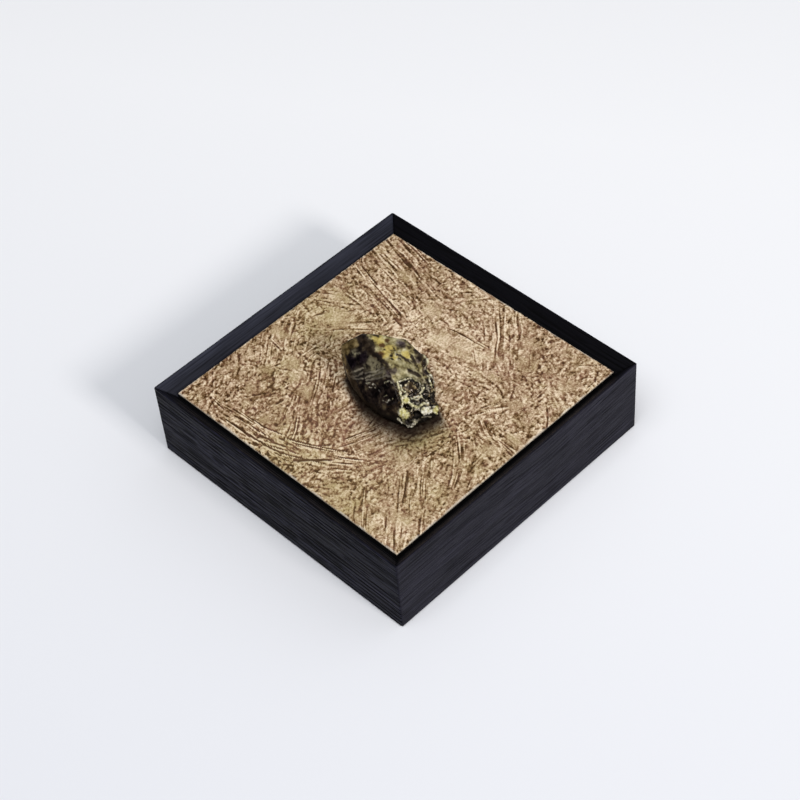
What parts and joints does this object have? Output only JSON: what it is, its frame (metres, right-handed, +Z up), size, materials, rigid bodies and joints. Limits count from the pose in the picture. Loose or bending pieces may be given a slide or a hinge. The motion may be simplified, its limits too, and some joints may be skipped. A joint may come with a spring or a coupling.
{
  "type": "wooden storage box",
  "caption": "Square low storage box in black-stained wood with a bevelled rim, a sunken lift-off lid faced in gilt textured plaster and a polished stone knob.",
  "frame": {"origin": "on the table, under the middle of the box", "axes": "+Z up, the way the lid lifts; -Y towards the front wall; +X to the right"},
  "size_m": [0.2, 0.2, 0.0763],
  "materials": {
    "stained_oak": "open-grained ash or oak stained charcoal black, satin lacquer",
    "stained_board": "fibreboard with black-stained edges, matt",
    "beech_tongue": "plain planed beech",
    "base_ply": "thin plywood stained dark, matt",
    "gilt_plaster": "trowelled and crumbled plaster with a rubbed antique gold glaze",
    "polished_jasper": "polished olive, black and cream banded stone with ringed spots",
    "flock": "short dark flock on card",
    "rubber": "matt black bumper rubber",
    "brass": "turned brass",
    "steel": "zinc-plated steel"
  },
  "bodies": {
    "box": {"wall_front": "stained_oak", "wall_right": "stained_oak", "wall_back": "stained_oak", "wall_left": "stained_oak", "tongue_front_left": "beech_tongue", "tongue_front_right": "beech_tongue", "tongue_back_right": "beech_tongue", "tongue_back_left": "beech_tongue", "base_panel": "base_ply", "foot_front_left": "rubber", "foot_front_right": "rubber", "foot_back_right": "rubber", "foot_back_left": "rubber", "liner_front": "flock", "liner_right": "flock", "liner_back": "flock", "liner_left": "flock", "floor_lining": "flock"},
    "lid": {"lid_board": "stained_board", "lid_facing": "gilt_plaster", "lid_lining": "flock", "knob_stone": "polished_jasper", "knob_insert": "brass", "knob_screw": "steel", "knob_washer": "steel"}
  },
  "joints": [
    {"name": "lid_lift", "type": "slide", "parent": "box", "child": "lid", "axis": [0, 0, 1], "range_m": [0, 0.08]}
  ]
}
